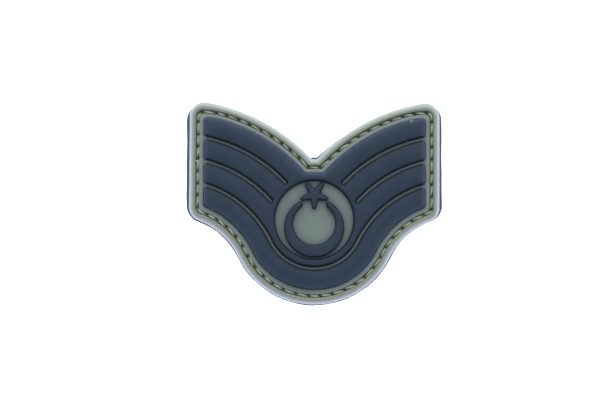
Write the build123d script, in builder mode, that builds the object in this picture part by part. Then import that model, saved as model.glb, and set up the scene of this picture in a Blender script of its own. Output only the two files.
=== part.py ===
from build123d import *
import os
from math import acos, cos, degrees, hypot, radians, sin, sqrt

# Moulded PVC rank patch, in millimetres, with Z up.
# Four curved chevrons run round a medallion that holds a star above a crescent.
# The raised parts are fused to a base with a sewn border, and hook tape backs the base.
# The origin is on the medallion's axis, at the tips of the hooks that the patch rests on.

# Medallion opening, and the bridge of raised material between it and the notch
medallion_radius = 10.1
bridge_height = 1.8
notch_flat = 4.5

# Chevron stripes: arcs about a centre on each wing that run on under the medallion
half_width = 28.3
wing_angle = 26.0
bend_radius = 27.55
ring_width = 2.12
groove_width = 0.6
lower_stripe = 5.05
upper_stripes = 3
corner_radius = 0.45
groove_end_gap = 1.75
groove_end_radius = 0.22

# Crescent, hung low in the medallion
crescent_gap = 0.5
crescent_drop = 2.0
crescent_belly = 3.1
crescent_neck = 1.2
horn_angle = 26.5
horn_radius = 0.5

# Star, one point down, fitted between the crescent's horns and the medallion's wall
star_points = 5
star_wall_gap = 0.3
star_horn_gap = 0.35
star_waist = 1.4
star_tip_radius = 0.5

# Border outside the stripes: lip, sewing channel and rim
lip_width = 1.0
channel_width = 1.05
rim_width = 1.65
notch_trim = 0.3

# Hook tape under the base, cut a little larger than it except along the top arcs
hook_side_margin = 0.5
hook_foot_margin = 0.35
hook_notch_margin = 0.3
hook_top_inset = 0.05

# Heights
hook_height = 1.5
bond_gap = 0.03
floor_thickness = 1.3
rim_rise = 0.25
channel_depth = 0.55
relief_height = 0.9

# Rounded edges
relief_round = 0.35
rim_round = 0.75
rim_foot_round = 0.2
channel_round = 0.2
hook_edge_round = 0.15

# Worked out: the arcs' centres and radii
dip_radius = medallion_radius + ring_width + groove_width / 2
centre_distance = dip_radius + bend_radius
wing_x = centre_distance * cos(radians(wing_angle))
wing_y = -centre_distance * sin(radians(wing_angle))
notch_height = medallion_radius + bridge_height
top_radius = hypot(wing_x - notch_flat / 2, notch_height - wing_y)
foot_radius = bend_radius - groove_width / 2 - lower_stripe
stripe_pitch = (top_radius - bend_radius + groove_width / 2) / upper_stripes
groove_end_circle = medallion_radius + groove_end_gap
border_width = lip_width + channel_width + rim_width

# Worked out: the crescent's two circles
crescent_outer = medallion_radius - crescent_gap - crescent_drop
crescent_inner = crescent_outer - (crescent_belly + crescent_neck) / 2
crescent_inner_y = -crescent_drop + (crescent_belly - crescent_neck) / 2

# Worked out: the levels
base_bottom = hook_height + bond_gap
floor_level = base_bottom + floor_thickness
channel_floor = floor_level - channel_depth
relief_bottom = floor_level + bond_gap


def wing_arc(radius, from_x, to_x):
    """Arc about the left wing's centre, between two distances from the middle line."""
    start = degrees(acos((wing_x - from_x) / radius))
    end = degrees(acos((wing_x - to_x) / radius))
    CenterArc((-wing_x, wing_y), radius, start, end - start)


def dip_curve(radius, side):
    """Left half of a curve that runs down a wing and on under the medallion."""
    wing_arc(radius, side, wing_x - radius * cos(radians(wing_angle)))
    CenterArc((0, 0), centre_distance - radius, 180 + wing_angle, 90 - wing_angle)


def top_curve(radius, notch, side):
    """Left half of the top edge: the notch's flat, then the arc along the wing."""
    flat = max(wing_x - sqrt(radius**2 - (notch - wing_y) ** 2), 0.0)
    if flat > 0:
        Line((0, notch), (-flat, notch))
    wing_arc(radius, flat, side)


def side_line(side, upper_radius, lower_radius):
    """Straight side of the left wing, between two arcs about its centre."""
    run = wing_x - side
    upper = (-side, wing_y + sqrt(upper_radius**2 - run**2))
    lower = (-side, wing_y + sqrt(lower_radius**2 - run**2))
    Line(upper, lower)


def side_vertices(sketch):
    """Corners on the outline's two straight sides."""
    columns = sketch.vertices().group_by(Axis.X)
    return columns[0] + columns[-1]


def outline(side, top, foot, notch, corner):
    """Closed outline of the patch: notched top, straight sides and a foot that dips."""
    with BuildSketch() as plan:
        with BuildLine():
            top_curve(top, notch, side)
            side_line(side, top, foot)
            dip_curve(foot, side)
            mirror(about=Plane.YZ)
        make_face()
        fillet(side_vertices(plan), corner)
    return plan.sketch


def border_outline(grow, trim=0.0):
    """Outline of the raised field, moved outward, with the notch cut deeper by the trim."""
    notch = notch_height + grow - trim
    corner = corner_radius + grow
    return outline(half_width + grow, top_radius + grow, foot_radius - grow, notch, corner)


def hook_outline():
    """Outline of the hook tape, which shows past the base except along the top arcs."""
    side = half_width + border_width + hook_side_margin
    top = top_radius + border_width - hook_top_inset
    foot = foot_radius - border_width - hook_foot_margin
    notch = notch_height + border_width - notch_trim + hook_notch_margin
    return outline(side, top, foot, notch, corner_radius + border_width + hook_side_margin)


def blind_grooves():
    """Grooves between the upper stripes, open at the sides and closed near the ring."""
    with BuildSketch() as grooves:
        with Locations((-wing_x, wing_y)):
            for step in range(upper_stripes - 1, 0, -1):
                radius = bend_radius + step * stripe_pitch
                Circle(radius + groove_width / 2)
                Circle(radius - groove_width / 2, mode=Mode.SUBTRACT)
        reach = half_width + groove_width
        Rectangle(reach, top_radius, align=(Align.MAX, Align.MIN), mode=Mode.INTERSECT)
        Circle(groove_end_circle, mode=Mode.SUBTRACT)
        ends = [v for v in grooves.vertices() if hypot(v.X, v.Y) < groove_end_circle * 1.001]
        fillet(ends, groove_end_radius)
        mirror(about=Plane.YZ)
    return grooves.sketch


def upper_field():
    """Upper three stripes of both wings, joined by the ring round the medallion."""
    lowest = bend_radius + groove_width / 2
    with BuildSketch() as field:
        with BuildLine():
            top_curve(top_radius, notch_height, half_width)
            side_line(half_width, top_radius, lowest)
            dip_curve(lowest, half_width)
            mirror(about=Plane.YZ)
        make_face()
        Circle(medallion_radius, mode=Mode.SUBTRACT)
        add(blind_grooves(), mode=Mode.SUBTRACT)
        fillet(side_vertices(field), corner_radius)
    return field.sketch


def lower_field():
    """Lowest stripe, which runs from wing to wing under the medallion."""
    highest = bend_radius - groove_width / 2
    with BuildSketch() as field:
        with BuildLine():
            dip_curve(highest, half_width)
            side_line(half_width, highest, foot_radius)
            dip_curve(foot_radius, half_width)
            mirror(about=Plane.YZ)
        make_face()
        fillet(side_vertices(field), corner_radius)
    return field.sketch


def crescent_field():
    """Crescent that opens upward, with rounded horns."""
    hub_y = (crescent_inner_y - crescent_drop) / 2
    spread = medallion_radius * sin(radians(horn_angle))
    rise = medallion_radius * cos(radians(horn_angle))
    with BuildSketch() as field:
        with Locations((0, -crescent_drop)):
            Circle(crescent_outer)
        with Locations((0, crescent_inner_y)):
            Circle(crescent_inner, mode=Mode.SUBTRACT)
        wedge = [(0, hub_y), (-spread, hub_y + rise), (spread, hub_y + rise)]
        Polygon(*wedge, align=None, mode=Mode.SUBTRACT)
        fillet(field.vertices(), horn_radius)
    return field.sketch


def star_placing(horn_top):
    """Reach of the star's arms and height of its centre, from the gaps round it."""
    half_step = radians(180 / star_points)
    base = horn_top + star_horn_gap + star_tip_radius
    lean = cos(half_step) + cos(2 * half_step)
    square = sin(half_step) ** 2 + lean**2
    free = medallion_radius - star_wall_gap
    root = sqrt((base * lean) ** 2 - square * (base**2 - free**2))
    reach = (root - base * lean) / square
    return reach, base + reach * cos(2 * half_step)


def star_field(horn_top):
    """Five-pointed star with blunt arms, one arm pointing down."""
    reach, centre_y = star_placing(horn_top)
    half_step = radians(180 / star_points)
    waist = (star_waist * cos(half_step), star_waist * sin(half_step))
    arm = [
        (0, 0),
        (waist[0], -waist[1]),
        (reach, -star_tip_radius),
        (reach, star_tip_radius),
        waist,
    ]
    with BuildSketch() as field:
        with Locations((0, centre_y)):
            with PolarLocations(0, star_points, start_angle=-90):
                Polygon(*arm, align=None)
        corners = field.vertices().sort_by_distance((0, centre_y, 0))
        fillet(corners[-2 * star_points :], star_tip_radius)
    return field.sketch


def raised_part(field):
    """Relief on the base's floor, with its top edge rounded."""
    with BuildPart() as relief:
        with BuildSketch(Plane.XY.offset(relief_bottom)):
            add(field)
        extrude(amount=relief_height)
        fillet(relief.faces().sort_by(Axis.Z)[-1].edges(), relief_round)
    return relief.part


# Base: a slab with a rounded rim, a floor sunk below the rim and the sewing channel
with BuildPart() as pvc_base:
    with BuildSketch(Plane.XY.offset(base_bottom)):
        add(border_outline(border_width, notch_trim))
    extrude(amount=floor_thickness + rim_rise)
    fillet(pvc_base.faces().sort_by(Axis.Z)[-1].edges(), rim_round)
    fillet(pvc_base.faces().sort_by(Axis.Z)[0].edges(), rim_foot_round)
    with BuildSketch(Plane.XY.offset(floor_level)):
        add(border_outline(lip_width + channel_width))
    extrude(amount=rim_rise, mode=Mode.SUBTRACT)
    with BuildSketch(Plane.XY.offset(channel_floor)):
        add(border_outline(lip_width + channel_width))
        add(border_outline(lip_width), mode=Mode.SUBTRACT)
    extrude(amount=channel_depth, mode=Mode.SUBTRACT)
    levels = pvc_base.faces().filter_by(Plane.XY).group_by(Axis.Z)
    rim_inner = levels[-1][0].inner_wires()[0]
    lip_outer = levels[-2][0].outer_wire()
    fillet(rim_inner.edges() + lip_outer.edges(), channel_round)

# Hook tape: one slab from the tape's back down to the tips of its hooks
with BuildPart() as hook_backing:
    with BuildSketch():
        add(hook_outline())
    extrude(amount=hook_height)
    fillet(hook_backing.faces().sort_by(Axis.Z)[-1].edges(), hook_edge_round)

# Raised parts on the base's floor
crescent = raised_part(crescent_field())
pieces = {
    "pvc_base": pvc_base.part,
    "hook_backing": hook_backing.part,
    "upper_chevrons": raised_part(upper_field()),
    "lower_chevron": raised_part(lower_field()),
    "crescent": crescent,
    "star": raised_part(star_field(crescent.bounding_box().max.Y)),
}

os.makedirs("parts", exist_ok=True)
for name, piece in pieces.items():
    piece.label = name
    export_step(piece, f"parts/{name}.step")
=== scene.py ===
"""Moulded PVC rank patch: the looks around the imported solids.

The plan is drawn in millimetres, with the same arcs as the solids and small trims to the photo.
Each mesh is turned to metres as it is made, and every material is made of nodes.
"""

import math
from collections import namedtuple

import bpy
import numpy as np
from mathutils import Matrix, Quaternion, Vector
from mathutils.geometry import delaunay_2d_cdt


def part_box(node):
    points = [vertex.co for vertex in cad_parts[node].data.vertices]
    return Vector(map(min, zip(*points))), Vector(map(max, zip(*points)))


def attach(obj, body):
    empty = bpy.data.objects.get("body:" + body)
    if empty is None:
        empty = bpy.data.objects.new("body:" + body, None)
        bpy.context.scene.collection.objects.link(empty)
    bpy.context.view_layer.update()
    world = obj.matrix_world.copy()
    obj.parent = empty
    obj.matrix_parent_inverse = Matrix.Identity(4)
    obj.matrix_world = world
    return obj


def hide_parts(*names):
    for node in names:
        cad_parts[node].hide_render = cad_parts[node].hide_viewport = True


MM = 0.001

# Plan, in millimetres: medallion and stripes
medallion_radius = 9.92
bridge_height = 2.24
notch_flat = 4.75
half_width = 28.52
wing_angle = 26.0
bend_radius = 27.55
groove_shift = 0.08
ring_width = 2.33
groove_width = 0.54
lower_stripe = 5.08
upper_stripes = 3
corner_radius = 1.0
shoulder_droop = 0.3
droop_reach = 2.0
groove_end_gap = 1.93
groove_end_radius = 0.22

# Plan: border, whose lip and channel lie a little aside of the stripes, and its rim less so
lip_width = 1.05
channel_width = 0.95
rim_width = 1.7
border_shift = (-0.06, -0.15)
rim_shift_share = 0.3
rim_side_spread = -0.08
notch_trim = 0.12
channel_corner = 1.25
rim_inner_corner = 1.8
rim_corner = 3.8

# Plan: crescent and star
crescent_gap = 0.27
crescent_drop = 1.95
crescent_belly = 3.32
crescent_neck = 1.36
horn_angle = 28.2
horn_radius = 0.68
star_points = 5
star_wall_gap = 0.23
star_horn_gap = 0.1
star_waist = 1.68
star_tip_radius = 0.5

# Plan: how far the hook tape shows past the base, how askew it lies, and how it strays at the notch
hook_side_margin = 0.64
hook_foot_margin = 0.26
hook_notch_margin = 0.34
hook_top_inset = 0.2
hook_shift = 0.01
hook_turn = 0.3
hook_stray = (-0.6, 0.15)
hook_stray_reach = 7.5

# Relief: lean of the walls, and how high and how far in the tops swell above their rounded edge.
# Painted shade covers the walls, and ends at its rise above that edge.
Profile = namedtuple("Profile", "lean crown swell_reach gloom_rise")
stripe_profile = Profile(lean=0.5, crown=0.14, swell_reach=2.4, gloom_rise=0.06)
figure_profile = Profile(lean=0.3, crown=0.09, swell_reach=0.7, gloom_rise=0.07)

# Relief: gap under the solids, foot and rounded edge of the walls, and heights of the rings up a wall.
# Near the border the walls lean less: pairs of the distance from it and a share of the lean.
bond_gap = 0.03
relief_sink = 0.04
foot_spread = 0.02
top_round = 0.14
wall_shares = (0, 0.08, 0.35, 0.7, 1)
outer_lean = ((0.1, 0.85), (0.8, 1.0))

# Border profile: depth of the channel and how round each edge is.
# The hems are how far the profile runs in under the rim, and onto the floor.
channel_depth = 0.55
channel_lean = 0.08
rim_wall_lean = 0.25
lip_round = 0.2
channel_round = 0.16
rim_inner_round = 0.32
rim_outer_round = 1.32
rim_foot_round = 0.2
underside_hem = 0.8
floor_hem = 0.3

# Sewing: the seam, and by how much its needle marks and its stitches' slants stray
stitch_count = 62
thread_offset = 1.47
thread_shift = 0.14
mark_stray = 0.06
stitch_gap = 0.12
stitch_slant = 0.16
slant_stray = 0.06

# Sewing: plies of the thread, and how steeply a stitch and its painted shade go down to the holes
ply_count = 3
ply_radius = 0.155
ply_offset = 0.155
ply_lay = 1.5
needle_dip = 0.7
stitch_steepness = 0.7
end_shade_steepness = 1.5

# Sewing: dimples that the needle leaves, with the shallowest and deepest as shares of the depth.
# Rings of the base less than the clearance above its underside stay level.
dimple_depth = 0.38
dimple_shares = (0.45, 1.1)
dimple_reach = 0.4
dimple_clearance = 0.3

# Painted shade, where shade would fall: on the walls, on the floors and at the foot of the outer walls.
# The last is given as pairs of a distance outward from the stripes' outline and a share.
wall_shade_fade = 0.14
outer_wall_reach = 0.75
outer_wall_shade = 0.75
outer_shade_height = 0.6
outer_shade_fade = 0.3
groove_shade = 0.36
foot_shade = ((-0.1, 0.36), (0.4, 0.04), (0.8, 0.0))

# Painted shade on the medallion's floor: shares next to its wall, the crescent and the star
floor_shade_shares = (0.58, 0.55, 0.45)
floor_shade_reach = 0.7

# Soiling with painted shade in the channel's depth, darker round the notch, painted shade in the
# needle's holes, and a brown soiling tint on the rim's inner edge
channel_dirt_and_shade = 0.45
notch_darkening = 1.3
notch_darkening_reach = 4.0
hole_shade = 1.0
crest_grime = ((1.95, 0.0), (2.1, 0.16), (2.5, 0.08), (2.7, 0.0))

# Painted highlight and painted reflection, which make edges and slopes pale: pairs of a distance and a
# share.
# Distances run inward from the stripes' outline and ends, and outward from that outline over the border.
# The tilt says how much more painted reflection the lip and the rim get at the patch's foot than at its
# top.
stripe_highlight = ((0.9, 0.58), (1.6, 0.0))
end_glint = ((0.3, 0.0), (0.55, 0.42), (0.85, 0.0))
# Painted highlight on the rim's crest
crest_highlight = ((1.95, 0.0), (2.35, 1.0), (2.9, 1.0), (3.5, 0.0))
lip_reflection = ((0.2, 0.0), (0.4, 0.25), (0.75, 0.25), (1.0, 0.0))
rim_reflection = ((2.6, 0.0), (3.1, 0.65), (3.45, 0.65), (3.7, 0.35))
reflection_foot_tilt = ((1.0, -0.4), (2.0, 0.5))

# Marks of wear: a lump in the thread, a fleck on the right wing's top edge, a smear inside the crescent
lump_place = (-30.2, 14.9)
lump_radius = 0.25
lump_rise = 0.2
fleck_place = (24.8, 25.55)
fleck_reach = 0.27
smear_ends = ((3.45, 2.45), (4.1, 1.4))
smear_darkness = 0.5
smear_reach = 0.22

# Hook tape: woven ground, whose cut edge rounds over by pairs of an inset and a drop below the top
ground_thickness = 0.45
ground_tuck = 0.08
ground_edge = ((0.0, 0.1), (0.07, 0.02), (0.25, 0.0), (0.5, 0.01))
weave_depth = 0.035

# Hook tape: ends of yarn at the cut edge, and the waves in which that edge wanders, by size and span
yarn_pitch = 0.58
yarn_radius = 0.1
yarn_taper = (1, 0.9, 0.5)
yarn_root = 0.2
yarn_lengths = (0.04, 0.16)
yarn_levels = (0.35, 0.75)
yarn_droop = 0.1
edge_waves = ((0.03, 23.0), (0.03, 9.0), (0.035, yarn_pitch), (0.02, 0.37))
latest_wave_start = 6.3

# Hook tape: hooks, whose wire turns through a sweep in degrees
hook_wire = 0.09
hook_pitch = 1.2
hook_row = 1.15
hook_curl = 0.24
hook_sweep = (180, 390)
hook_join = 0.05
hook_middle_share = 0.7
hook_edge_gap = 0.45
hook_place_stray = 0.06
hook_spin_stray = 14

# Seeds of chance, one for each thing that varies
mark_seed = 11
dimple_seed = 17
stitch_seed = 23
ground_seed = 5
hook_seed = 31

# Mesh spacing: steps along curves and over caps, and insets of the graded rows along a cap's edge
curve_step = 0.16
least_arc_steps = 6
least_line_steps = 2
cap_step = 0.75
medallion_step = 0.25
grade_steps = (0.3, 0.75)
grade_slack = 0.97
grid_clearance = 1.3
weld_distance = 1e-7
nearest_batch = 500

# Mesh spacing: points on each stretch of an outline of the patch, from the notch round to the foot
notch_points = 9
top_points = 190
shoulder_points = 22
side_points = 110
hip_points = 20
foot_points = 90
bend_points = 80

# Mesh spacing: rings and sides of roundings, thread, lump, yarn and hooks
fillet_points = 10
border_side_rings = 7
top_round_rings = 9
stitch_rings = 30
ply_sides = 7
lump_rings = 9
lump_sides = 12
lump_pole = 0.1
yarn_sides = 6
hook_curl_rings = 6
hook_sides = 5

# Numbers that Blender gives to a kind of triangulation and to the colour sockets of a mix node
triangles_with_holes = 2
mix_share = 0
mix_colours = (6, 7)
mix_result = 2

# Photo: its scale, and where the medallion's centre lies in its 612 by 407 frame
photo_width = 612
photo_height = 407
photo_scale = 0.256
medallion_px = (314.3, 219.9)
photo_turn = 0.3
camera_tilt = 4.0
lens = 120.0
sensor = 36.0

# Light: colours of the sky near the horizon and overhead, its strength in front and behind,
# and the place in metres, size and power of a soft lamp
sky_low = (0.84, 0.92, 1.0, 1.0)
sky_high = (0.09, 0.1, 0.115, 1.0)
sky_fade = (0.15, 0.8)
sky_front = 1.5
sky_back = 3.2
key_place = (0.1, 0.9, 0.7)
key_size = 0.7
key_power = 5.0

# White ground under the patch: how far it reaches, in metres, and its colours
white_ground_reach = 2.0
white_ground_tones = ((0.8, 0.81, 0.83, 1), (0.83, 0.84, 0.85, 1))
white_ground_glow = (0.86, 0.88, 1.0, 1)

# Worked out: the arcs' centres and radii, and the border's widths
dip_radius = medallion_radius + ring_width + groove_width / 2
centre_distance = dip_radius + bend_radius
wing_x = centre_distance * math.cos(math.radians(wing_angle))
wing_y = -centre_distance * math.sin(math.radians(wing_angle))
wing = (-wing_x, wing_y)
notch_height = medallion_radius + bridge_height
top_radius = math.hypot(wing_x - notch_flat / 2, notch_height - wing_y)
foot_radius = bend_radius - groove_width / 2 - lower_stripe
stripe_pitch = (top_radius - bend_radius + groove_width / 2) / upper_stripes
groove_end_circle = medallion_radius + groove_end_gap
groove_line = bend_radius + groove_shift
rim_start = lip_width + channel_width
border_width = rim_start + rim_width
crescent_outer = medallion_radius - crescent_gap - crescent_drop
crescent_inner = crescent_outer - (crescent_belly + crescent_neck) / 2
crescent_inner_y = -crescent_drop + (crescent_belly - crescent_neck) / 2

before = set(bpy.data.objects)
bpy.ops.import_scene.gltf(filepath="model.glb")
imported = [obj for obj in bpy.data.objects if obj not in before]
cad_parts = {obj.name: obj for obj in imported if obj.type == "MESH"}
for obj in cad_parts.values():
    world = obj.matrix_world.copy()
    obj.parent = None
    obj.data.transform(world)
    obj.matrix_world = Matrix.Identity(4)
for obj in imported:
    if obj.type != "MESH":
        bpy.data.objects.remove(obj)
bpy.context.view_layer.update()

# Worked out from the frame: the levels, in millimetres
tape_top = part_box("hook_backing")[1].z / MM
base_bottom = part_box("pvc_base")[0].z / MM
rim_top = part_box("pvc_base")[1].z / MM
floor_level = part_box("star")[0].z / MM - bond_gap
relief_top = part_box("star")[1].z / MM
channel_floor = floor_level - channel_depth
ground_low = tape_top - ground_thickness


def polar(centre, radius, angles):
    """Points on a circle, at angles in degrees."""
    turns = np.radians(angles)
    across = centre[0] + radius * np.cos(turns)
    return np.column_stack([across, centre[1] + radius * np.sin(turns)])


def arc(centre, radius, start, end):
    """Evenly spaced points along an arc."""
    count = max(int(math.radians(abs(end - start)) * radius / curve_step), least_arc_steps)
    return polar(centre, radius, np.linspace(start, end, count + 1))


def line(start, end):
    """Evenly spaced points along a straight line."""
    count = max(int(math.dist(start, end) / curve_step), least_line_steps)
    return np.linspace(start, end, count + 1)


def side_angle(radius, x):
    """Angle at which an arc about the left wing's centre is at a distance from the middle line."""
    return math.degrees(math.acos((wing_x - x) / radius))


def angle_to(centre, point):
    """Angle of the line from one point to another, in degrees."""
    return math.degrees(math.atan2(point[1] - centre[1], point[0] - centre[0]))


def mirrored(half):
    """Loop from its left half, which runs from the top of the middle line down to its foot."""
    right = half[-2:0:-1] * (-1, 1)
    return np.vstack([half, right])


def turned(points, degrees):
    """Points of a plan turned about its origin."""
    turn = math.radians(degrees)
    spin = ((math.cos(turn), math.sin(turn)), (-math.sin(turn), math.cos(turn)))
    return points @ np.array(spin)


def fade(distance, reach):
    """Share that falls from one, like a bell, with the distance."""
    return np.exp(-((distance / reach) ** 2))


def level_at(distance, pairs):
    """Value at a distance, read off a line through pairs of a distance and a value."""
    return np.interp(distance, *zip(*pairs))


def top_edge(radius, start, end, droop):
    """Arc over the wing whose outer end droops."""
    angles = np.linspace(start, end, top_points)
    away = np.radians(end - angles) * radius
    return polar(wing, radius - droop * fade(away, droop_reach), angles)


def outline(side, top, foot, notch, corner, droop=0.0):
    """Closed outline of the patch, with the same number of points whatever its size."""
    run = wing_x - side + corner
    upper = (-side + corner, wing_y + math.sqrt((top - droop - corner) ** 2 - run**2))
    lower = (-side + corner, wing_y + math.sqrt((foot + corner) ** 2 - run**2))
    flat = max(wing_x - math.sqrt(top**2 - (notch - wing_y) ** 2), 0.0)
    turn_in = angle_to(wing, upper)
    turn_out = angle_to(wing, lower)
    half = [
        np.linspace((0, notch), (-flat, notch), notch_points)[:-1],
        top_edge(top, angle_to(wing, (-flat, notch)), turn_in, droop)[:-1],
        polar(upper, corner, np.linspace(turn_in, 180, shoulder_points))[:-1],
        np.linspace((-side, upper[1]), (-side, lower[1]), side_points)[:-1],
        polar(lower, corner, np.linspace(180, 180 + turn_out, hip_points))[:-1],
        polar(wing, foot, np.linspace(turn_out, wing_angle, foot_points))[:-1],
        polar((0, 0), centre_distance - foot, np.linspace(180 + wing_angle, 270, bend_points)),
    ]
    return mirrored(np.vstack(half))


def border_line(grow):
    """Outline of the stripes grown outward, with the notch cut deeper towards the rim's edge."""
    share = np.clip((grow - rim_start) / rim_width, 0, 1)
    notch = notch_height + grow - notch_trim * share
    steps = (0, lip_width, rim_start, border_width)
    corner = np.interp(grow, steps, (corner_radius, channel_corner, rim_inner_corner, rim_corner))
    side = half_width + grow + rim_side_spread * share
    shift = np.multiply(border_shift, np.interp(grow, steps, (0, 1, 1, rim_shift_share)))
    droop = shoulder_droop * (1 - share)
    return outline(side, top_radius + grow, foot_radius - grow, notch, corner, droop) + shift


def hook_line():
    """Outline of the hook tape, which lies a little askew and strays sideways at the notch."""
    side = half_width + border_width + rim_side_spread + hook_side_margin
    top = top_radius + border_width - hook_top_inset
    foot = foot_radius - border_width - hook_foot_margin
    notch = notch_height + border_width - notch_trim + hook_notch_margin
    loop = outline(side, top, foot, notch, rim_corner + hook_side_margin)
    near = fade(np.hypot(*(loop - (0, notch)).T), hook_stray_reach)
    return turned(loop, hook_turn) + (hook_shift, 0) + near[:, None] * hook_stray


def lengths(points):
    """Distance of each point along a line of points."""
    steps = np.linalg.norm(np.diff(points, axis=0), axis=1)
    return np.concatenate([[0.0], np.cumsum(steps)])


def unit(vector):
    """A vector with a length of one."""
    return vector / np.linalg.norm(vector)


def point_on(points, along, at):
    """Point at a distance along a line of points."""
    return [np.interp(at, along, points[:, axis]) for axis in (0, 1)]


def cut(points, start, end):
    """A line of points with a length cut off each end, and none left close to a cut."""
    along = lengths(points)
    last = along[-1] - end
    spare = curve_step / 3
    inner = points[(along > start + spare) & (along < last - spare)]
    return np.vstack([point_on(points, along, start), inner, point_on(points, along, last)])


def fillet(start, out, end, into, radius, turn):
    """Points of a rounded corner, from one tangent to another, along a Bezier curve."""
    reach = radius * 4 / 3 * math.tan(turn / 4)
    t = np.linspace(0, 1, fillet_points)[:, None]
    handles = (start, start + out * reach, end - into * reach, end)
    weights = ((1 - t) ** 3, 3 * t * (1 - t) ** 2, 3 * t**2 * (1 - t), t**3)
    return sum(weight * handle for weight, handle in zip(weights, handles))


def corner_ways(side, following):
    """Ways in which one side ends and the next one starts."""
    return unit(side[-1] - side[-2]), unit(following[1] - following[0])


def rounded(sides, radii):
    """One line through joined sides, with the corner after each side rounded by its radius."""
    turns = []
    for side, following in zip(sides, sides[1:]):
        out, into = corner_ways(side, following)
        turns.append(math.acos(np.clip(out @ into, -1, 1)))
    trims = [radius * math.tan(turn / 2) for radius, turn in zip(radii, turns)]
    sides = [cut(side, a, b) for side, a, b in zip(sides, [0.0, *trims], [*trims, 0.0])]
    stretches = [sides[0]]
    for side, following, radius, turn in zip(sides, sides[1:], radii, turns):
        if radius > 0:
            out, into = corner_ways(side, following)
            stretches.append(fillet(side[-1], out, following[0], into, radius, turn)[1:-1])
            stretches.append(following)
        else:
            stretches.append(following[1:])
    return np.vstack(stretches)


def wing_side(*radii):
    """Straight side of the left wing, between two arcs about its centre."""
    run = wing_x - half_width
    ends = [(-half_width, wing_y + math.sqrt(radius**2 - run**2)) for radius in radii]
    return line(*ends)


def groove_end(radius):
    """Angle at which an arc about the wing's centre meets the circle where the grooves end."""
    square = radius**2 + centre_distance**2 - groove_end_circle**2
    return wing_angle + math.degrees(math.acos(square / (2 * radius * centre_distance)))


def groove_sides(radius):
    """Upper wall, closed end and lower wall of a blind groove."""
    upper, lower = radius + groove_width / 2, radius - groove_width / 2
    corners = [polar(wing, r, [groove_end(r)])[0] for r in (upper, lower)]
    angles = [angle_to((0, 0), corner) for corner in corners]
    return [
        arc(wing, upper, side_angle(upper, half_width), groove_end(upper)),
        arc((0, 0), groove_end_circle, *angles),
        arc(wing, lower, groove_end(lower), side_angle(lower, half_width)),
    ]


def upper_loops():
    """Outline of the upper stripes, and the medallion's opening."""
    notch_angle = angle_to(wing, (-notch_flat / 2, notch_height))
    above = top_radius - shoulder_droop
    sides = [
        line((0, notch_height), (-notch_flat / 2, notch_height)),
        top_edge(top_radius, notch_angle, side_angle(above, half_width), shoulder_droop),
    ]
    radii = [0.0]
    for step in range(upper_stripes - 1, 0, -1):
        radius = groove_line + step * stripe_pitch
        sides += [wing_side(above, radius + groove_width / 2), *groove_sides(radius)]
        radii += [corner_radius, corner_radius, groove_end_radius, groove_end_radius]
        above = radius - groove_width / 2
    lowest = groove_line + groove_width / 2
    sides += [
        wing_side(above, lowest),
        arc(wing, lowest, side_angle(lowest, half_width), wing_angle),
        arc((0, 0), centre_distance - lowest, 180 + wing_angle, 270),
    ]
    radii += [corner_radius, corner_radius, 0.0]
    return [mirrored(rounded(sides, radii)), arc((0, 0), medallion_radius, 360, 0)[:-1]]


def lower_loops():
    """Outline of the lowest stripe."""
    highest = groove_line - groove_width / 2
    sides = [
        arc((0, 0), centre_distance - highest, 270, 180 + wing_angle),
        arc(wing, highest, wing_angle, side_angle(highest, half_width)),
        wing_side(highest, foot_radius),
        arc(wing, foot_radius, side_angle(foot_radius, half_width), wing_angle),
        arc((0, 0), centre_distance - foot_radius, 180 + wing_angle, 270),
    ]
    return [mirrored(rounded(sides, [0.0, corner_radius, corner_radius, 0.0]))]


def horn_corner(hub, centre, radius):
    """Point at which the line of a horn's end meets one of the crescent's circles."""
    turn = math.radians(horn_angle)
    way = np.array((-math.sin(turn), math.cos(turn)))
    back = np.subtract(hub, centre)
    along = -back @ way + math.sqrt((back @ way) ** 2 - back @ back + radius**2)
    return hub + along * way


def crescent_loops():
    """Outline of the crescent, open upward."""
    hub = np.array((0.0, (crescent_inner_y - crescent_drop) / 2))
    outer_centre, inner_centre = (0.0, -crescent_drop), (0.0, crescent_inner_y)
    outer_horn = horn_corner(hub, outer_centre, crescent_outer)
    inner_horn = horn_corner(hub, inner_centre, crescent_inner)
    sides = [
        arc(inner_centre, crescent_inner, -90, angle_to(inner_centre, inner_horn) - 360),
        line(inner_horn, outer_horn),
        arc(outer_centre, crescent_outer, angle_to(outer_centre, outer_horn), 270),
    ]
    return [mirrored(rounded(sides, [horn_radius, horn_radius]))]


def star_placing(horn_top):
    """Reach of the star's arms and height of its centre.

    The side arms pass a gap above the horns, and the upper arms end a gap inside the medallion's wall.
    """
    half_step = math.radians(180 / star_points)
    side_level = horn_top + star_horn_gap + star_tip_radius
    climb = math.cos(half_step) + math.cos(2 * half_step)
    square = math.sin(half_step) ** 2 + climb**2
    free = medallion_radius - star_wall_gap
    root = math.sqrt((side_level * climb) ** 2 - square * (side_level**2 - free**2))
    reach = (root - side_level * climb) / square
    return reach, side_level + reach * math.cos(2 * half_step)


def star_loops():
    """Outline of the star, one arm down."""
    reach, centre_y = star_placing(crescent_loops()[0][:, 1].max())
    half_step = math.radians(180 / star_points)
    across, out = star_waist * math.sin(half_step), star_waist * math.cos(half_step)
    arm = [(out, -across), (reach, -star_tip_radius), (reach, star_tip_radius), (out, across)]
    tip = rounded([line(*ends) for ends in zip(arm, arm[1:])], [star_tip_radius] * 2)
    angles = [-90 + step * 360 / star_points for step in range(star_points)]
    return [np.vstack([turned(tip, angle)[:-1] for angle in angles]) + (0, centre_y)]


def inward(loop):
    """Way into the material at each point of a loop, long enough to keep its corners mitred."""
    ahead = np.roll(loop, -1, axis=0) - loop
    ahead /= np.linalg.norm(ahead, axis=1)[:, None]
    normal = np.column_stack([-ahead[:, 1], ahead[:, 0]])
    before = np.roll(normal, 1, axis=0)
    return (normal + before) / (1 + np.sum(normal * before, axis=1))[:, None]


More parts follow.
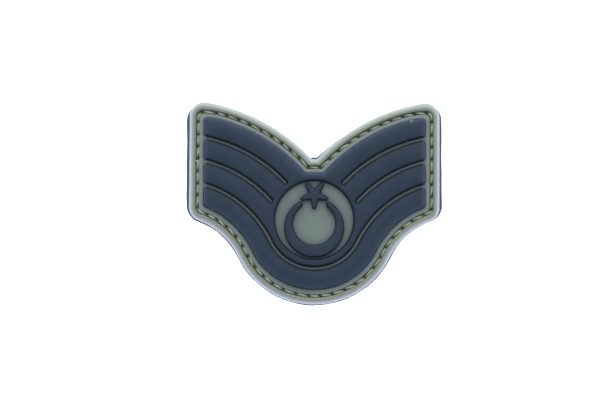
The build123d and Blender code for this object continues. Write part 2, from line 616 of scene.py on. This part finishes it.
def nearest(points, edge):
    """Distance from each point to the nearest point of an edge, worked out in batches."""
    parts = np.array_split(points, max(len(points) // nearest_batch, 1))
    spans = [np.linalg.norm(part[:, None] - edge[None], axis=2).min(axis=1) for part in parts]
    return np.concatenate(spans)


def inside(points, loops):
    """Which points lie inside the loops, and outside their holes."""
    crossings = np.zeros(len(points), int)
    x, y = points[:, 0, None], points[:, 1, None]
    for loop in loops:
        ax, ay = loop.T
        bx, by = np.roll(loop, -1, axis=0).T
        level = np.where(by == ay, 1.0, by - ay)
        at = ax + (y - ay) * (bx - ax) / level
        crossings += np.sum(((ay > y) != (by > y)) & (x < at), axis=1)
    return crossings % 2 == 1


def triangle_grid(low, high, step):
    """Points of a grid of even triangles over a box, whose every second row is offset."""
    rows = np.arange(low[1], high[1], step * math.sqrt(3) / 2)
    columns = np.arange(low[0], high[0], step)
    return np.vstack([
        np.column_stack([columns + step / 2 * (row % 2), np.full(len(columns), y)])
        for row, y in enumerate(rows)
    ])


def cap_points(loops, step):
    """Points inside the loops: graded rows along their edges, then a grid of triangles."""
    edge = np.vstack(loops)
    kept = []
    for grade in grade_steps:
        row = np.vstack([(loop + inward(loop) * grade)[::2] for loop in loops])
        kept.append(row[nearest(row, edge) > grade * grade_slack])
    grid = triangle_grid(edge.min(axis=0), edge.max(axis=0), step)
    kept.append(grid[nearest(grid, edge) > grade_steps[-1] * grid_clearance])
    kept = np.vstack(kept)
    return kept[inside(kept, loops)]


def fill(loops, inner):
    """Triangles that fill the loops, as numbers of the loops' points followed by the inner ones."""
    points = np.vstack([*loops, inner])
    rims, start = [], 0
    for loop in loops:
        rims.append(list(range(start, start + len(loop))))
        start += len(loop)
    corners = [Vector(point) for point in points]
    made = delaunay_2d_cdt(corners, [], rims, triangles_with_holes, weld_distance)
    _, _, faces, origins, _, _ = made
    source = [origin[0] for origin in origins]
    triangles = np.array([[source[corner] for corner in face] for face in faces])
    a, b, c = (points[triangles[:, k]] for k in range(3))
    area = (b[:, 0] - a[:, 0]) * (c[:, 1] - a[:, 1]) - (b[:, 1] - a[:, 1]) * (c[:, 0] - a[:, 0])
    triangles[area < 0] = triangles[area < 0][:, ::-1]
    return triangles


def bands(rings, count, first):
    """Quads between closed rings of points that follow one another."""
    here = np.arange(count)
    ahead = (here + 1) % count
    quad = np.column_stack([here, ahead, ahead + count, here + count])
    return np.vstack([quad + first + ring * count for ring in range(rings - 1)])


def make_mesh(name, shape, material, nodes, masks=()):
    """Smooth mesh object, in metres, that rides with the frame and stands for solids.

    A mask holds a value for each of its points.
    """
    points, faces = shape
    mesh = bpy.data.meshes.new(name)
    corners = [list(map(int, face)) for face in faces]
    mesh.from_pydata((np.asarray(points) * MM).tolist(), [], corners)
    mesh.polygons.foreach_set("use_smooth", [True] * len(mesh.polygons))
    mesh.materials.append(material)
    for mask, values in masks:
        mesh.attributes.new(mask, "FLOAT", "POINT").data.foreach_set("value", values)
    made = bpy.data.objects.new(name, mesh)
    bpy.context.scene.collection.objects.link(made)
    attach(made, "root")
    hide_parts(*nodes)


def raise_points(flat, heights):
    """Points of a plan lifted to heights."""
    return np.column_stack([flat, np.broadcast_to(heights, len(flat))])


def closed_shell(ring_sets, cap_height=np.zeros_like, inner=None):
    """Points and faces of a solid, with both ends filled.

    Each set of rings goes up one wall, from the underside to the cap. The cap's height above its edge
    depends on the distance from it.
    """
    points, faces, low_numbers, high_numbers = [], [], [], []
    start = 0
    for rings in ring_sets:
        count = len(rings[0])
        points += rings
        faces += bands(len(rings), count, start).tolist()
        low_numbers.append(start + np.arange(count))
        start += len(rings) * count
        high_numbers.append(start - count + np.arange(count))
    lows = [rings[0][:, :2] for rings in ring_sets]
    highs = [rings[-1][:, :2] for rings in ring_sets]
    if inner is None:
        inner = cap_points(highs, cap_step)
    edge_level = ring_sets[0][-1][:, 2].mean()
    away = nearest(inner, np.vstack(highs))
    points.append(raise_points(inner, edge_level + cap_height(away)))
    numbers = np.concatenate([*high_numbers, start + np.arange(len(inner))])
    faces += numbers[fill(highs, inner)].tolist()
    numbers = np.concatenate(low_numbers)
    faces += numbers[fill(lows, np.empty((0, 2)))[:, ::-1]].tolist()
    return np.vstack(points), faces


def relief_stations(profile):
    """Inset and height of each ring up a raised part's wall and over its rounded edge."""
    foot = floor_level - relief_sink
    shoulder = relief_top - profile.crown - top_round
    walls = [
        (profile.lean * share - foot_spread, foot + (shoulder - foot) * share)
        for share in wall_shares
    ]
    inset = profile.lean - foot_spread
    quarter = np.radians(np.linspace(90 / top_round_rings, 90, top_round_rings))
    edge = [
        (inset + top_round * (1 - math.cos(turn)), shoulder + top_round * math.sin(turn))
        for turn in quarter
    ]
    return walls + edge


def swell(away, profile):
    """Height of a raised part's top above its rounded edge, at distances from that edge."""
    return profile.crown * (1 - np.clip(1 - away / profile.swell_reach, 0, 1) ** 2)


def relief_masks(points, profile):
    """Painted shade and painted highlight of a raised part at its points, and where the fleck is."""
    plan, height = points[:, :2], points[:, 2]
    away = nearest(plan, border_line(0.0))
    from_end = half_width - np.abs(points[:, 0])
    from_fleck = np.linalg.norm(plan - fleck_place, axis=1)
    inner_end = relief_top - profile.crown + profile.gloom_rise
    outer_end = floor_level + outer_shade_height
    inner = np.clip((inner_end - height) / wall_shade_fade, 0, 1)
    outer = np.clip((outer_end - height) / outer_shade_fade, 0, outer_wall_shade)
    # Painted shade on the walls, painted highlight near the outline and as a glint line near the ends,
    # and the fleck
    return [
        ("gloom", np.where(away < outer_wall_reach, outer, inner)),
        ("painted_highlight", level_at(away, stripe_highlight) + level_at(from_end, end_glint)),
        ("fleck", fade(from_fleck, fleck_reach)),
    ]


def relief(name, node, loops, profile, material):
    """Raised part with leaning walls, a rounded edge and a swollen top."""
    stations = relief_stations(profile)
    ring_sets = []
    for loop in loops:
        share = level_at(nearest(loop, border_line(0.0)), outer_lean)
        ways = inward(loop) * share[:, None]
        ring_sets.append([raise_points(loop + ways * inset, height) for inset, height in stations])
    shape = closed_shell(ring_sets, lambda away: swell(away, profile))
    make_mesh(name, shape, material, [node], relief_masks(shape[0], profile))


def border_stations():
    """How far each ring is grown, and its height, from the underside over the rim to the floor."""
    corners = [
        (border_width - underside_hem, base_bottom),
        (border_width, base_bottom),
        (border_width, rim_top),
        (rim_start, rim_top),
        (rim_start - rim_wall_lean, channel_floor),
        (lip_width + channel_lean, channel_floor),
        (lip_width, floor_level),
        (-floor_hem, floor_level),
    ]
    sides = [np.linspace(*ends, border_side_rings) for ends in zip(corners, corners[1:])]
    rim_rounds = [rim_foot_round, rim_outer_round, rim_inner_round]
    return rounded(sides, [*rim_rounds, channel_round, channel_round, lip_round])


def girth(path):
    """Length all round a closed path."""
    return lengths(np.vstack([path, path[:1]]))[-1]


def along_path(path, distance):
    """Point and sideways way at distances along a closed path."""
    closed = np.vstack([path, path[:1]])
    run = lengths(closed)
    distance = np.mod(distance, run[-1])
    point = np.column_stack([np.interp(distance, run, closed[:, axis]) for axis in (0, 1)])
    ways = np.vstack([inward(path), inward(path)[:1]])
    way = np.column_stack([np.interp(distance, run, ways[:, axis]) for axis in (0, 1)])
    return point, way / np.linalg.norm(way, axis=1)[:, None]


def needle_marks():
    """The seam's path, and the distances along it at which the needle went through."""
    chance = np.random.default_rng(mark_seed)
    path = border_line(thread_offset) + (thread_shift, 0)
    pitch = girth(path) / stitch_count
    marks = (np.arange(stitch_count) + 0.5) * pitch
    return path, marks + chance.normal(0, pitch * mark_stray, stitch_count)


def dimples(points):
    """Depth by which the needle's holes draw the channel down, some more than others."""
    chance = np.random.default_rng(dimple_seed)
    path, marks = needle_marks()
    holes = along_path(path, marks)[0]
    depths = dimple_depth * chance.uniform(*dimple_shares, len(holes))
    away = np.linalg.norm(points[:, None, :2] - holes[None], axis=2)
    return (depths * fade(away, dimple_reach)).sum(axis=1)


def floor_points(edge):
    """Points of the base's floor: a wide grid, and a fine one in the medallion."""
    wide = cap_points([edge], cap_step)
    ring = arc((0, 0), medallion_radius, 0, 360)[:-1]
    fine = cap_points([ring], medallion_step)
    return np.vstack([wide[np.hypot(*wide.T) > medallion_radius + cap_step / 2], fine])


def floor_shade_and_smear(points):
    """How dark the floor is: painted shade in the grooves and near the medallion's walls and figures,
    and a smear.
    """
    walls = [arc((0, 0), medallion_radius, 0, 360), *crescent_loops(), *star_loops()]
    clear = [
        1 - share * np.exp(-nearest(points, wall) / floor_shade_reach)
        for share, wall in zip(floor_shade_shares, walls)
    ]
    clear.append(1 - smear_darkness * fade(nearest(points, line(*smear_ends)), smear_reach))
    in_medallion = np.hypot(*points.T) < medallion_radius
    return np.where(in_medallion, 1 - np.prod(clear, axis=0), groove_shade)


def channel_darkening(points, grow, height, sink):
    """How dark the channel is: soiling with painted shade in its depth, more round the notch, and
    painted shade in the needle's holes.
    """
    depth = (rim_top - height) / (rim_top - channel_floor) * (grow > lip_width)
    away = np.hypot(*(points[:, :2] - (0, notch_height)).T)
    gathered = 1 + notch_darkening * fade(away, notch_darkening_reach)
    return np.clip(channel_dirt_and_shade * depth * gathered + hole_shade * sink / dimple_depth, 0, 1)


def border_ring(grow, height):
    """Points of one ring of the border, and the values of its masks."""
    plan = border_line(grow)
    ring = raise_points(plan, height)
    darkness = np.zeros(len(ring))
    if grow < rim_start + rim_inner_round and height > base_bottom + dimple_clearance:
        sink = dimples(ring)
        ring[:, 2] -= sink
        darkness = channel_darkening(ring, grow, height, sink)
    whole = np.ones(len(ring))
    to_foot = 1 + level_at(grow, reflection_foot_tilt) * inward(plan)[:, 1]
    # Painted shade at the wall's foot, soiling and painted shade in the channel, painted highlight on
    # the crest, and painted reflection on the lip and rim, strongest at the foot
    return ring, {
        "gloom": whole * level_at(grow, foot_shade),
        "dirt_and_shade": darkness + level_at(grow, crest_grime),
        "painted_highlight": whole * level_at(grow, crest_highlight),
        "painted_reflection": level_at(grow, lip_reflection + rim_reflection) * to_foot,
    }


def base(material):
    """Base with its rounded rim, sewing channel, lip and floor."""
    made = [border_ring(grow, height) for grow, height in border_stations()]
    rings = [ring for ring, _ in made]
    inner = floor_points(rings[-1][:, :2])
    plain = np.zeros(len(inner))
    # Only painted shade and the smear lie on the floor
    floor = {"gloom": floor_shade_and_smear(inner), "dirt_and_shade": plain, "painted_highlight": plain, "painted_reflection": plain}
    masks = [
        (mask, np.concatenate([*(values[mask] for _, values in made), floor[mask]]))
        for mask in floor
    ]
    shape = closed_shell([rings], inner=inner)
    make_mesh("base", shape, material, ["pvc_base"], masks)


def tube(centres, sideways, radius, sides):
    """Points and faces of a tube along a line of points, closed at both ends."""
    ahead = np.gradient(centres, axis=0)
    ahead /= np.linalg.norm(ahead, axis=1)[:, None]
    above = np.cross(ahead, sideways)
    above /= np.linalg.norm(above, axis=1)[:, None]
    beside = np.cross(above, ahead)
    turns = np.linspace(0, 2 * math.pi, sides, endpoint=False)[None, :, None]
    ring = np.cos(turns) * beside[:, None] + np.sin(turns) * above[:, None]
    points = (centres[:, None] + np.reshape(radius, (-1, 1, 1)) * ring).reshape(-1, 3)
    faces = bands(len(centres), sides, 0).tolist()
    last = (len(centres) - 1) * sides
    faces += [list(range(sides))[::-1], list(range(last, last + sides))]
    return points, faces


def joined(parts):
    """Points and faces of many meshes as one."""
    points, faces, start = [], [], 0
    for part_points, part_faces in parts:
        points.append(part_points)
        faces += [[corner + start for corner in face] for face in part_faces]
        start += len(part_points)
    return np.vstack(points), faces


def stitch(path, start, end, lean, spin):
    """Twisted plies of one stitch from hole to hole, and the painted shade towards their ends."""
    share = np.linspace(0, 1, stitch_rings)
    point, way = along_path(path, start + (end - start) * share)
    rise = np.clip(np.sin(math.pi * share), 0, 1) ** stitch_steepness
    height = channel_floor + ply_radius + ply_offset - needle_dip * (1 - rise)
    centre = raise_points(point + way * (lean * (0.5 - share) * 2)[:, None], height)
    sideways = raise_points(way, 0.0)
    plies = []
    for ply in range(ply_count):
        turn = 2 * math.pi * ((end - start) * share / ply_lay + ply / ply_count) + spin
        offset = np.cos(turn)[:, None] * sideways + np.sin(turn)[:, None] * (0, 0, 1)
        plies.append(tube(centre + ply_offset * offset, sideways, ply_radius, ply_sides))
    # Painted shade, darker towards the holes
    darkness = np.repeat(np.clip(1 - rise, 0, 1) ** end_shade_steepness, ply_sides)
    return joined(plies), np.tile(darkness, ply_count)


def lump():
    """Round lump in the thread, like a knot, and the painted shade at its points, which is none."""
    turns = np.linspace(lump_pole, math.pi - lump_pole, lump_rings)
    height = channel_floor + ply_radius + 2 * ply_offset + lump_rise
    plan = np.add(lump_place, [(-lump_radius * math.cos(turn), 0) for turn in turns])
    sideways = np.tile((0, 1.0, 0), (lump_rings, 1))
    ball = tube(raise_points(plan, height), sideways, lump_radius * np.sin(turns), lump_sides)
    return ball, np.zeros(len(ball[0]))


def stitches(material):
    """Lockstitches all round the channel."""
    chance = np.random.default_rng(stitch_seed)
    path, marks = needle_marks()
    ends = np.append(marks[1:], marks[0] + girth(path))
    made = []
    for start, end in zip(marks + stitch_gap, ends - stitch_gap):
        lean = stitch_slant + chance.normal(0, slant_stray)
        made.append(stitch(path, start, end, lean, chance.uniform(0, 2 * math.pi)))
    made.append(lump())
    shape = joined([part for part, _ in made])
    dirt_and_shade = np.concatenate([darkness for _, darkness in made])
    make_mesh("stitches", shape, material, [], [("dirt_and_shade", dirt_and_shade)])


def wander(run, chance):
    """How far a cut edge strays outward along its run, with nicks between the yarns."""
    strays = []
    for size, span in edge_waves:
        start = chance.uniform(0, latest_wave_start)
        strays.append(size * np.sin(2 * math.pi * run / span + start))
    return sum(strays)[:, None]


def ground_rings(loop, ways, run):
    """Rings of the tape's ground, up from its underside, whose edge ripples with the weave."""
    weave = weave_depth * np.sin(2 * math.pi * run / yarn_pitch)
    levels = [(0.0, ground_low + ground_tuck)]
    levels += [(inset, tape_top - drop) for inset, drop in ground_edge]
    rings = [raise_points(loop + ways * ground_tuck, ground_low)]
    return rings + [raise_points(loop + ways * inset, height + weave) for inset, height in levels]


def yarn_end(loop, at, chance):
    """End of a yarn that sticks out of the tape's cut edge and droops."""
    length = chance.uniform(*yarn_lengths)
    point, way = along_path(loop, np.array([at]))
    height = ground_low + ground_thickness * chance.uniform(*yarn_levels)
    heights = height - np.array((0, 0, chance.uniform(0, yarn_droop)))
    plan = np.array([point[0] + way[0] * yarn_root, point[0], point[0] - way[0] * length])
    above = np.tile((0, 0, 1.0), (len(plan), 1))
    return tube(raise_points(plan, heights), above, yarn_radius * np.array(yarn_taper), yarn_sides)


def hook_ground(material):
    """Woven ground of the hook tape, with ends of yarn along its cut edge."""
    chance = np.random.default_rng(ground_seed)
    loop = hook_line()
    ways = inward(loop)
    run = lengths(loop)
    loop = loop - ways * wander(run, chance)
    shell = closed_shell([ground_rings(loop, ways, run)])
    yarns = [yarn_end(loop, at, chance) for at in np.arange(0, run[-1], yarn_pitch)]
    shape = joined([shell, *yarns])
    make_mesh("hook_tape_ground", shape, material, ["hook_backing"])


def one_hook():
    """A bent wire that hangs from the ground and curls up again at its tip."""
    bottom = hook_wire + hook_curl
    levels = (ground_low + hook_join, ground_low * hook_middle_share, bottom + hook_join)
    centres = [(0.0, 0.0, level) for level in levels]
    for turn in np.radians(np.linspace(*hook_sweep, hook_curl_rings)):
        across = hook_curl * (1 + math.cos(turn))
        centres.append((across, 0.0, bottom + hook_curl * math.sin(turn)))
    sideways = np.tile((0, 1.0, 0), (len(centres), 1))
    return tube(np.array(centres), sideways, hook_wire, hook_sides)


def hook_spots(chance):
    """Places of the hooks, and which of two ways each one curls, column by column."""
    loop = hook_line()
    low, high = loop.min(axis=0), loop.max(axis=0)
    spots, signs = [], []
    for column, x in enumerate(np.arange(low[0], high[0], hook_row)):
        ys = np.arange(low[1], high[1], hook_pitch) + hook_pitch / 2 * (column % 2)
        spots.append(np.column_stack([np.full(len(ys), x), ys]))
        signs += [column % 2] * len(ys)
    spots = np.vstack(spots) + chance.normal(0, hook_place_stray, (len(signs), 2))
    keep = inside(spots, [loop]) & (nearest(spots, loop) > hook_edge_gap)
    return spots[keep], np.array(signs)[keep]


def hooks(material):
    """Rows of hooks under the tape."""
    chance = np.random.default_rng(hook_seed)
    spots, signs = hook_spots(chance)
    points, faces = one_hook()
    made = []
    for spot, sign in zip(spots, signs):
        turn = math.radians(90 + 180 * sign + chance.normal(0, hook_spin_stray))
        spin = np.array(Matrix.Rotation(turn, 3, "Z"))
        made.append((points @ spin.T + (*spot, 0), faces))
    make_mesh("hook_tape_hooks", joined(made), material, ["hook_backing"])


def srgb(red, green, blue):
    """A colour given as in the photo, from 0 to 255, in the linear form that shaders take."""
    values = [channel / 255 for channel in (red, green, blue)]
    linear = [v / 12.92 if v <= 0.04045 else ((v + 0.055) / 1.055) ** 2.4 for v in values]
    return (*linear, 1.0)


def new_material(name):
    """A material with its node tree, its shader and the coordinates of its object in metres."""
    material = bpy.data.materials.new(name)
    material.use_nodes = True
    tree = material.node_tree
    shader = tree.nodes["Principled BSDF"]
    coordinates = tree.nodes.new("ShaderNodeTexCoord").outputs["Object"]
    return material, tree, shader, coordinates


def speckle(tree, coordinates, size, detail=2.0):
    """Noise whose grain has a size in millimetres."""
    node = tree.nodes.new("ShaderNodeTexNoise")
    node.inputs["Scale"].default_value = 1 / (size * MM)
    node.inputs["Detail"].default_value = detail
    tree.links.new(coordinates, node.inputs["Vector"])
    return node.outputs["Fac"]


def spread(tree, value, source=(0.3, 0.7), target=(0.0, 1.0)):
    """A value stretched smoothly from one range, by default that of most noise, to another."""
    node = tree.nodes.new("ShaderNodeMapRange")
    node.interpolation_type = "SMOOTHSTEP"
    for socket, number in zip(("From Min", "From Max", "To Min", "To Max"), (*source, *target)):
        node.inputs[socket].default_value = number
    tree.links.new(value, node.inputs["Value"])
    return node.outputs["Result"]


def blend(tree, share, *colours):
    """A mix of two colours, each of them a constant or the output of a node."""
    node = tree.nodes.new("ShaderNodeMix")
    node.data_type = "RGBA"
    tree.links.new(share, node.inputs[mix_share])
    for socket, colour in zip(mix_colours, colours):
        if isinstance(colour, tuple):
            node.inputs[socket].default_value = colour
        else:
            tree.links.new(colour, node.inputs[socket])
    return node.outputs[mix_result]


def bump(tree, height, depth, under=None):
    """Fine relief of a depth in millimetres, on top of another."""
    node = tree.nodes.new("ShaderNodeBump")
    node.inputs["Distance"].default_value = depth * MM
    tree.links.new(height, node.inputs["Height"])
    if under:
        tree.links.new(under, node.inputs["Normal"])
    return node.outputs["Normal"]


def mask_value(tree, mask):
    """Value of one of the masks that a mesh carries at its points."""
    node = tree.nodes.new("ShaderNodeAttribute")
    node.attribute_name = mask
    return node.outputs["Fac"]


def pvc(name, tones, layers, roughness):
    """Soft moulded PVC: clouded colour under layers of painted shade, painted highlight, painted
    reflection, soiling and a fleck, fine grain and a faint orange peel.

    Its roughness varies between two values, and the painted shade makes it dull.
    """
    material, tree, shader, coordinates = new_material(name)
    clouds = spread(tree, speckle(tree, coordinates, size=7.0, detail=3.0), source=(0.35, 0.65))
    tone = blend(tree, clouds, *tones)
    for mask, layer in layers:
        tone = blend(tree, mask_value(tree, mask), tone, layer)
    tree.links.new(tone, shader.inputs["Base Color"])
    gloss = spread(tree, speckle(tree, coordinates, size=0.9), target=roughness)
    dull = spread(tree, mask_value(tree, "gloom"), source=(0, 1), target=(0, 0.95))
    tree.links.new(gloss, dull.node.inputs["To Min"])
    tree.links.new(dull, shader.inputs["Roughness"])
    peel = bump(tree, speckle(tree, coordinates, size=0.8), depth=0.012)
    grain = bump(tree, speckle(tree, coordinates, size=0.11, detail=3.0), depth=0.004, under=peel)
    tree.links.new(grain, shader.inputs["Normal"])
    return material


def thread_material():
    """Polyester thread, finely mottled by its filaments, with painted shade where it goes into the
    holes.
    """
    material, tree, shader, coordinates = new_material("olive_thread")
    fibres = speckle(tree, coordinates, size=0.09, detail=3.0)
    clean = blend(tree, spread(tree, fibres), srgb(120, 128, 100), srgb(220, 227, 198))
    # Painted shade where the thread dips into the holes
    end_shaded = blend(tree, mask_value(tree, "dirt_and_shade"), clean, srgb(70, 72, 44))
    tree.links.new(end_shaded, shader.inputs["Base Color"])
    shader.inputs["Roughness"].default_value = 0.55
    shader.inputs["Sheen Weight"].default_value = 0.3
    tree.links.new(bump(tree, fibres, depth=0.03), shader.inputs["Normal"])
    return material


def tape_material():
    """Nylon of the hook tape, with an uneven grain."""
    material, tree, shader, coordinates = new_material("hook_tape_nylon")
    tones = spread(tree, speckle(tree, coordinates, size=0.25, detail=3.0))
    colour = blend(tree, tones, srgb(66, 72, 90), srgb(108, 115, 134))
    tree.links.new(colour, shader.inputs["Base Color"])
    shader.inputs["Roughness"].default_value = 0.45
    grain = bump(tree, speckle(tree, coordinates, size=0.12), depth=0.05)
    tree.links.new(grain, shader.inputs["Normal"])
    return material


def white_ground_material():
    """White ground that glows a little, to be as bright as the photo's."""
    material, tree, shader, coordinates = new_material("white_ground")
    tone = spread(tree, speckle(tree, coordinates, size=120.0))
    tree.links.new(blend(tree, tone, *white_ground_tones), shader.inputs["Base Color"])
    shader.inputs["Roughness"].default_value = 0.9
    shader.inputs["Emission Color"].default_value = white_ground_glow
    shader.inputs["Emission Strength"].default_value = 1.8
    return material


def make_white_ground():
    """White ground under the patch."""
    mesh = bpy.data.meshes.new("ground")
    plan = [(-1, -1), (1, -1), (1, 1), (-1, 1)]
    corners = [(x * white_ground_reach, y * white_ground_reach, 0) for x, y in plan]
    mesh.from_pydata(corners, [], [(0, 1, 2, 3)])
    mesh.materials.append(white_ground_material())
    ground = bpy.data.objects.new("ground", mesh)
    bpy.context.scene.collection.objects.link(ground)


def make_world():
    """Soft surroundings: pale round the patch, most of all behind it, and dim overhead."""
    world = bpy.data.worlds.new("studio")
    bpy.context.scene.world = world
    world.use_nodes = True
    tree = world.node_tree
    background = tree.nodes["Background"]
    split = tree.nodes.new("ShaderNodeSeparateXYZ")
    way = tree.nodes.new("ShaderNodeTexCoord").outputs["Generated"]
    tree.links.new(way, split.inputs["Vector"])
    height = spread(tree, split.outputs["Z"], source=sky_fade)
    tree.links.new(blend(tree, height, sky_low, sky_high), background.inputs["Color"])
    strength = spread(tree, split.outputs["Y"], source=(-1, 1), target=(sky_front, sky_back))
    tree.links.new(strength, background.inputs["Strength"])


def make_light(name, place, size, power):
    """A square soft light that faces the patch."""
    data = bpy.data.lights.new(name, "AREA")
    data.size = size
    data.energy = power
    light = bpy.data.objects.new(name, data)
    light.location = place
    light.rotation_mode = "QUATERNION"
    light.rotation_quaternion = Vector(place).to_track_quat("Z", "Y")
    bpy.context.scene.collection.objects.link(light)


def make_camera():
    """Camera almost straight above the patch, so that the medallion falls where the photo has it."""
    data = bpy.data.cameras.new("camera")
    data.lens = lens
    data.sensor_width = sensor
    distance = photo_width * photo_scale * MM * lens / sensor
    shift_x = (photo_width / 2 - medallion_px[0]) * photo_scale * MM
    shift_y = (medallion_px[1] - photo_height / 2) * photo_scale * MM
    aim = Vector((shift_x, shift_y, floor_level * MM))
    tilt = math.radians(camera_tilt)
    back = Vector((0, -math.sin(tilt), math.cos(tilt)))
    camera = bpy.data.objects.new("camera", data)
    camera.location = aim + back * distance
    camera.rotation_mode = "QUATERNION"
    roll = Quaternion((0, 0, 1), math.radians(photo_turn))
    camera.rotation_quaternion = back.to_track_quat("Z", "Y") @ roll
    bpy.context.scene.collection.objects.link(camera)
    bpy.context.scene.camera = camera


navy_tones = (srgb(39, 52, 69), srgb(43, 56, 73))
# Layers over the navy: painted highlight near the edges, painted shade on the walls, and a pale fleck
navy_layers = [
    ("painted_highlight", srgb(60, 73, 95)),
    ("gloom", srgb(12, 26, 40)),
    ("fleck", srgb(134, 149, 152)),
]
olive_tones = (srgb(124, 135, 127), srgb(129, 140, 131))
# Layers over the olive: painted highlight on the rim's crest, painted reflection of the white ground on
# the lip and the rim's slope, painted shade on the floors, and soiling with painted shade in the channel
olive_layers = [
    ("painted_highlight", srgb(152, 157, 138)),
    ("painted_reflection", srgb(178, 180, 192)),
    ("gloom", srgb(52, 67, 88)),
    ("dirt_and_shade", srgb(92, 88, 42)),
]
navy = pvc("navy_pvc", navy_tones, navy_layers, roughness=(0.41, 0.52))
olive = pvc("olive_pvc", olive_tones, olive_layers, roughness=(0.43, 0.54))
nylon = tape_material()

base(olive)
relief("upper_stripes", "upper_chevrons", upper_loops(), stripe_profile, navy)
relief("lower_stripe", "lower_chevron", lower_loops(), stripe_profile, navy)
relief("crescent_relief", "crescent", crescent_loops(), figure_profile, navy)
relief("star_relief", "star", star_loops(), figure_profile, navy)
stitches(thread_material())
hook_ground(nylon)
hooks(nylon)

make_white_ground()
make_world()
make_light("key", key_place, key_size, key_power)
make_camera()
bpy.context.scene.view_settings.view_transform = "Standard"
